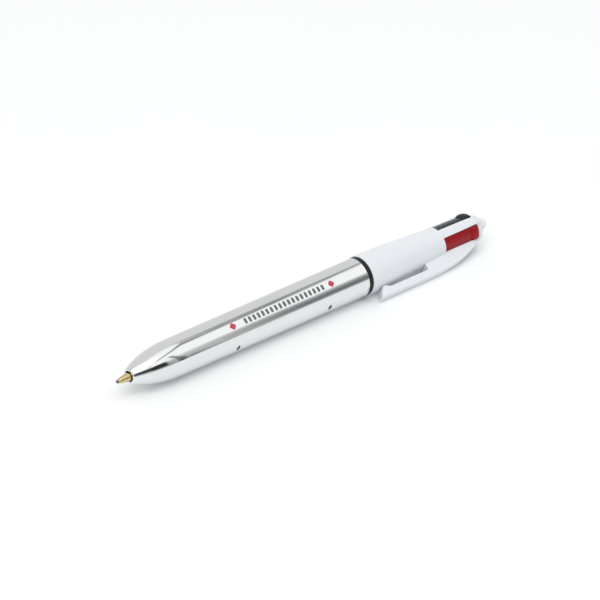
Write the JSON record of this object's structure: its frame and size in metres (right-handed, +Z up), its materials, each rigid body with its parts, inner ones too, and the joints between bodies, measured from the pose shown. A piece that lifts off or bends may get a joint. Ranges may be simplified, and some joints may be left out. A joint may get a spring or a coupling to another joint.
{
  "type": "multicolor click pen",
  "caption": "Multicolour ballpoint pen with a silver barrel, a white clip body and push slides that each bring out a refill tip.",
  "frame": {"origin": "centre of the bounding box's bottom, on the table that the pen lies on", "axes": "+X along the pen from the writing tip to the clip cap, +Z up, the clip low on the -Y side"},
  "size_m": [0.1462, 0.0156, 0.0129],
  "materials": {
    "barrel_silver": "vacuum-metallised silver, mirror bright",
    "body_white": "satin moulded white plastic",
    "ring_black": "fine satin black",
    "slide_black": "moulded plastic, slight gloss",
    "slide_red": "moulded plastic, slight gloss",
    "slide_blue": "moulded plastic, slight gloss",
    "slide_green": "moulded plastic, slight gloss",
    "disc_natural": "natural moulded plastic",
    "tube_natural": "translucent extruded tube",
    "ink_black": "oily paste",
    "ink_red": "oily paste",
    "ink_blue": "oily paste",
    "ink_green": "oily paste",
    "spring_steel": "drawn spring wire",
    "tip_brass": "turned, bright",
    "ball_carbide": "ground and polished dark ball"
  },
  "bodies": {
    "upper": {"upper_barrel": "body_white", "clip_cap": "body_white", "guide_disc": "disc_natural", "spring_black": "spring_steel", "spring_red": "spring_steel", "spring_blue": "spring_steel", "spring_green": "spring_steel"},
    "ring": {"trim_ring": "ring_black"},
    "front": {"lower_barrel": "barrel_silver"},
    "slider_black": {"slide_black": "slide_black"},
    "refill_black": {"refill_tube_black": "tube_natural", "ink_black": "ink_black", "writing_tip_black": "tip_brass", "ball_black": "ball_carbide"},
    "slider_red": {"slide_red": "slide_red"},
    "refill_red": {"refill_tube_red": "tube_natural", "ink_red": "ink_red", "writing_tip_red": "tip_brass", "ball_red": "ball_carbide"},
    "slider_blue": {"slide_blue": "slide_blue"},
    "refill_blue": {"refill_tube_blue": "tube_natural", "ink_blue": "ink_blue", "writing_tip_blue": "tip_brass", "ball_blue": "ball_carbide"},
    "slider_green": {"slide_green": "slide_green"},
    "refill_green": {"refill_tube_green": "tube_natural", "ink_green": "ink_green", "writing_tip_green": "tip_brass", "ball_green": "ball_carbide"}
  },
  "joints": [
    {"name": "push_black", "type": "slide", "parent": "upper", "child": "slider_black", "axis": [-1, 0, 0], "range_m": [0, 0.01], "stiffness_N_per_m": 60, "springref_m": -0.006, "deforming": ["spring_black", "refill_tube_black", "ink_black", "writing_tip_black", "ball_black"]},
    {"name": "lean_black", "type": "hinge", "parent": "slider_black", "child": "refill_black", "pos_m": [0.03873, 0.00196, 0.00913], "axis": [0, -0.9739, 0.2269], "range_deg": [0, 1.67]},
    {"name": "push_red", "type": "slide", "parent": "upper", "child": "slider_red", "axis": [-1, 0, 0], "range_m": [0, 0.01], "stiffness_N_per_m": 60, "springref_m": -0.006, "deforming": ["spring_red", "refill_tube_red", "ink_red", "writing_tip_red", "ball_red"]},
    {"name": "lean_red", "type": "hinge", "parent": "slider_red", "child": "refill_red", "pos_m": [0.03873, -0.00135, 0.00707], "axis": [0, -0.2269, -0.9739], "range_deg": [0, 1.67]},
    {"name": "push_blue", "type": "slide", "parent": "upper", "child": "slider_blue", "axis": [-1, 0, 0], "range_m": [-0.01, 0], "deforming": ["spring_blue", "refill_tube_blue", "ink_blue", "writing_tip_blue", "ball_blue"]},
    {"name": "lean_blue", "type": "hinge", "parent": "slider_blue", "child": "refill_blue", "pos_m": [0.02873, 0.00401, 0.00583], "axis": [0, 0.2269, 0.9739], "range_deg": [-1.67, 0]},
    {"name": "push_green", "type": "slide", "parent": "upper", "child": "slider_green", "axis": [-1, 0, 0], "range_m": [0, 0.01], "stiffness_N_per_m": 60, "springref_m": -0.006, "deforming": ["spring_green", "refill_tube_green", "ink_green", "writing_tip_green", "ball_green"]},
    {"name": "lean_green", "type": "hinge", "parent": "slider_green", "child": "refill_green", "pos_m": [0.03873, 0.00071, 0.00377], "axis": [0, 0.9739, -0.2269], "range_deg": [0, 1.67]},
    {"name": "barrel_travel", "type": "slide", "parent": "upper", "child": "ring", "axis": [-1, 0, 0], "range_m": [0, 0.0085]},
    {"name": "barrel_unscrew", "type": "hinge", "parent": "ring", "child": "front", "pos_m": [-0.02467, 0.00133, 0.00645], "axis": [-1, 0, 0], "range_deg": [0, 1801]}
  ],
  "couplings": [
    {"joint": "lean_black", "follows": "push_black", "rad_per_m": 2.9111},
    {"joint": "lean_red", "follows": "push_red", "rad_per_m": 2.9111},
    {"joint": "lean_blue", "follows": "push_blue", "rad_per_m": 2.9111},
    {"joint": "lean_green", "follows": "push_green", "rad_per_m": 2.9111},
    {"joint": "barrel_unscrew", "follows": "barrel_travel", "rad_per_m": 3696}
  ]
}
